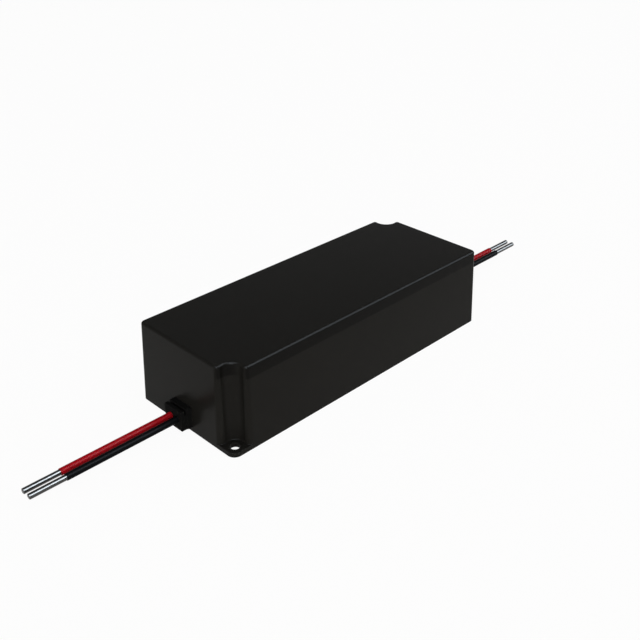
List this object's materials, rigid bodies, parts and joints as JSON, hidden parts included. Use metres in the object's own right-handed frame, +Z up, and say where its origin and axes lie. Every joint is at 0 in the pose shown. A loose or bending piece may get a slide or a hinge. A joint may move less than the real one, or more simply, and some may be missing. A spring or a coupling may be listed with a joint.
{
  "type": "waterproof power supply",
  "caption": "Potted power supply in a drafted plastic case, with scooped corners over screw lugs and a red and black lead pair leaving each end.",
  "frame": {"origin": "middle of the case's flat base, on its underside", "axes": "+X along the case towards the end with the output leads, +Y across it towards the positive leads, +Z up"},
  "size_m": [0.2914, 0.0584, 0.037],
  "materials": {
    "case_plastic": "satin moulded black",
    "cover_plastic": "matt moulded black",
    "potting": "cast, dark grey",
    "board_laminate": "green solder mask",
    "relief_rubber": "moulded black",
    "red_insulation": "extruded red",
    "black_insulation": "extruded black",
    "tinned_copper": "tinned strands",
    "fuse_body": "moulded brown",
    "blue_dip": "dipped blue",
    "film_box": "moulded yellow",
    "ferrite": "ground dark grey",
    "bobbin_plastic": "moulded ivory",
    "black_bobbin": "moulded black",
    "enamelled_copper": "enamelled wire",
    "winding_tape": "yellow film tape",
    "capacitor_sleeve": "shrunk sleeve",
    "heat_sink_metal": "extruded",
    "package_plastic": "moulded black",
    "pad_silicone": "grey sheet",
    "screw_steel": "zinc plated",
    "resistor_coat": "dipped beige",
    "resistance_wire": "drawn wire"
  },
  "bodies": {
    "root": {"case_shell": "case_plastic", "base_cover": "cover_plastic", "potting_compound": "potting", "circuit_board": "board_laminate", "input_strain_relief": "relief_rubber", "output_strain_relief": "relief_rubber", "input_positive_insulation": "red_insulation", "input_negative_insulation": "black_insulation", "output_positive_insulation": "red_insulation", "output_negative_insulation": "black_insulation", "input_positive_conductor": "tinned_copper", "input_negative_conductor": "tinned_copper", "output_positive_conductor": "tinned_copper", "output_negative_conductor": "tinned_copper", "input_fuse": "fuse_body", "surge_suppressor": "blue_dip", "input_film_capacitor": "film_box", "filter_choke_core": "ferrite", "filter_choke_bobbin": "bobbin_plastic", "filter_choke_winding_1": "enamelled_copper", "filter_choke_winding_2": "enamelled_copper", "input_capacitor_1": "capacitor_sleeve", "input_capacitor_2": "capacitor_sleeve", "heat_sink": "heat_sink_metal", "switching_transistor": "package_plastic", "rectifier_diode": "package_plastic", "insulating_pad_1": "pad_silicone", "insulating_pad_2": "pad_silicone", "heat_sink_screws": "screw_steel", "transformer_core_1": "ferrite", "transformer_core_2": "ferrite", "transformer_bobbin": "black_bobbin", "transformer_winding": "winding_tape", "controller_chip": "package_plastic", "feedback_optocoupler": "package_plastic", "current_sense_resistor": "resistance_wire", "snubber_resistor": "resistor_coat", "snubber_capacitor": "blue_dip", "safety_capacitor": "blue_dip", "output_choke_core": "ferrite", "output_choke_winding": "enamelled_copper", "output_capacitor_1": "capacitor_sleeve", "output_capacitor_2": "capacitor_sleeve", "output_capacitor_3": "capacitor_sleeve"}
  },
  "joints": []
}
